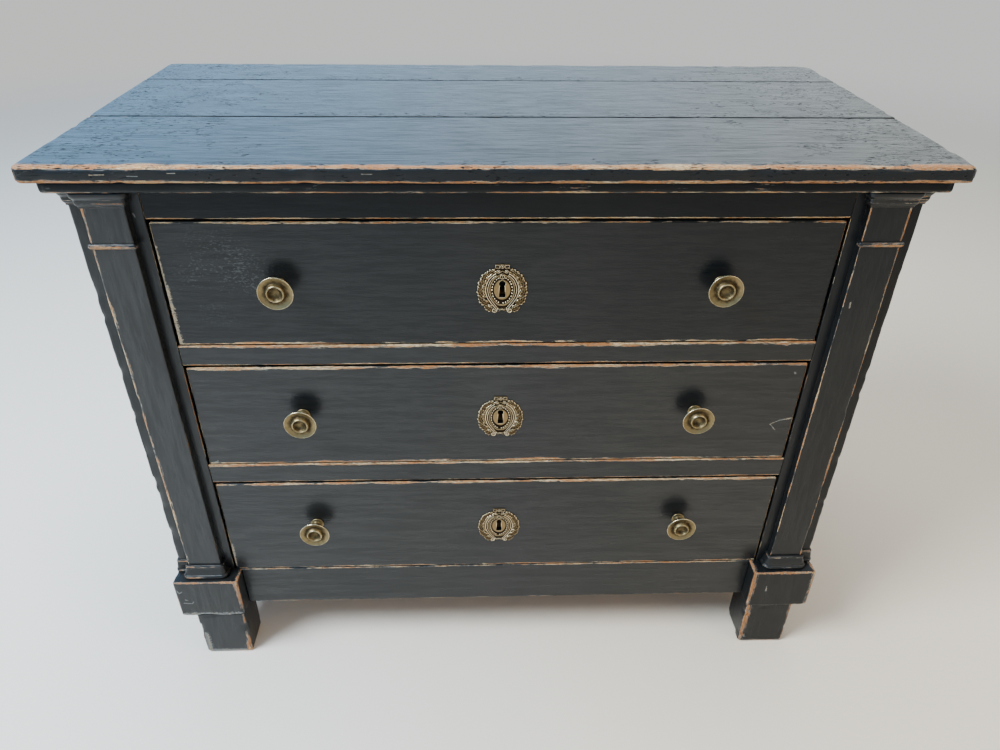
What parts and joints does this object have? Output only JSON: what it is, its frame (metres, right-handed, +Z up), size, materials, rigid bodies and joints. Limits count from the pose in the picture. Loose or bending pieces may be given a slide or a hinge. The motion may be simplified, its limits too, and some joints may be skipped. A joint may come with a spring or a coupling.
{
  "type": "commode chest",
  "caption": "Dark painted wooden commode chest with sliding drawers, pilasters, plinth feet, brass knobs and wreath keyhole plates.",
  "frame": {"origin": "on the floor, under the middle of the whole chest", "axes": "+X to the right as seen from the front, -Y out of the front, +Z up"},
  "size_m": [1.022, 0.509, 0.793],
  "materials": {
    "dark_paint": "satin, worn paint",
    "bare_pine": "bare, aged",
    "brass": "aged, softly polished",
    "iron": "dark, forged"
  },
  "bodies": {
    "carcass": {"top_plank_front": "dark_paint", "top_plank_middle": "dark_paint", "top_plank_back": "dark_paint", "cornice_front": "dark_paint", "cornice_left": "dark_paint", "cornice_right": "dark_paint", "top_rail": "dark_paint", "drawer_rail_upper": "dark_paint", "drawer_rail_lower": "dark_paint", "bottom_rail": "dark_paint", "back_panel": "bare_pine", "bottom_board": "bare_pine", "post_left": "dark_paint", "pilaster_left": "dark_paint", "crown_moulding_left": "dark_paint", "base_moulding_left": "dark_paint", "plinth_left": "dark_paint", "foot_left": "dark_paint", "side_board_left": "dark_paint", "runner_upper_left": "bare_pine", "runner_lower_left": "bare_pine", "post_right": "dark_paint", "pilaster_right": "dark_paint", "crown_moulding_right": "dark_paint", "base_moulding_right": "dark_paint", "plinth_right": "dark_paint", "foot_right": "dark_paint", "side_board_right": "dark_paint", "runner_upper_right": "bare_pine", "runner_lower_right": "bare_pine"},
    "drawer_upper": {"drawer_upper_front": "dark_paint", "drawer_upper_side_left": "bare_pine", "drawer_upper_side_right": "bare_pine", "drawer_upper_back": "bare_pine", "drawer_upper_bottom": "bare_pine", "knob_upper_left": "brass", "knob_upper_right": "brass", "wreath_plate_upper": "brass", "lock_upper": "iron"},
    "drawer_middle": {"drawer_middle_front": "dark_paint", "drawer_middle_side_left": "bare_pine", "drawer_middle_side_right": "bare_pine", "drawer_middle_back": "bare_pine", "drawer_middle_bottom": "bare_pine", "knob_middle_left": "brass", "knob_middle_right": "brass", "wreath_plate_middle": "brass", "lock_middle": "iron"},
    "drawer_lower": {"drawer_lower_front": "dark_paint", "drawer_lower_side_left": "bare_pine", "drawer_lower_side_right": "bare_pine", "drawer_lower_back": "bare_pine", "drawer_lower_bottom": "bare_pine", "knob_lower_left": "brass", "knob_lower_right": "brass", "wreath_plate_lower": "brass", "lock_lower": "iron"},
    "bolt_upper": {"lock_bolt_upper": "iron"},
    "bolt_middle": {"lock_bolt_middle": "iron"},
    "bolt_lower": {"lock_bolt_lower": "iron"}
  },
  "joints": [
    {"name": "drawer_upper_slide", "type": "slide", "parent": "carcass", "child": "drawer_upper", "axis": [0, -1, 0], "range_m": [0, 0.3]},
    {"name": "drawer_middle_slide", "type": "slide", "parent": "carcass", "child": "drawer_middle", "axis": [0, -1, 0], "range_m": [0, 0.3]},
    {"name": "drawer_lower_slide", "type": "slide", "parent": "carcass", "child": "drawer_lower", "axis": [0, -1, 0], "range_m": [0, 0.3]},
    {"name": "bolt_upper_throw", "type": "slide", "parent": "drawer_upper", "child": "bolt_upper", "axis": [0, 0, 1], "range_m": [0, 0.009]},
    {"name": "bolt_middle_throw", "type": "slide", "parent": "drawer_middle", "child": "bolt_middle", "axis": [0, 0, 1], "range_m": [0, 0.009]},
    {"name": "bolt_lower_throw", "type": "slide", "parent": "drawer_lower", "child": "bolt_lower", "axis": [0, 0, 1], "range_m": [0, 0.009]}
  ]
}
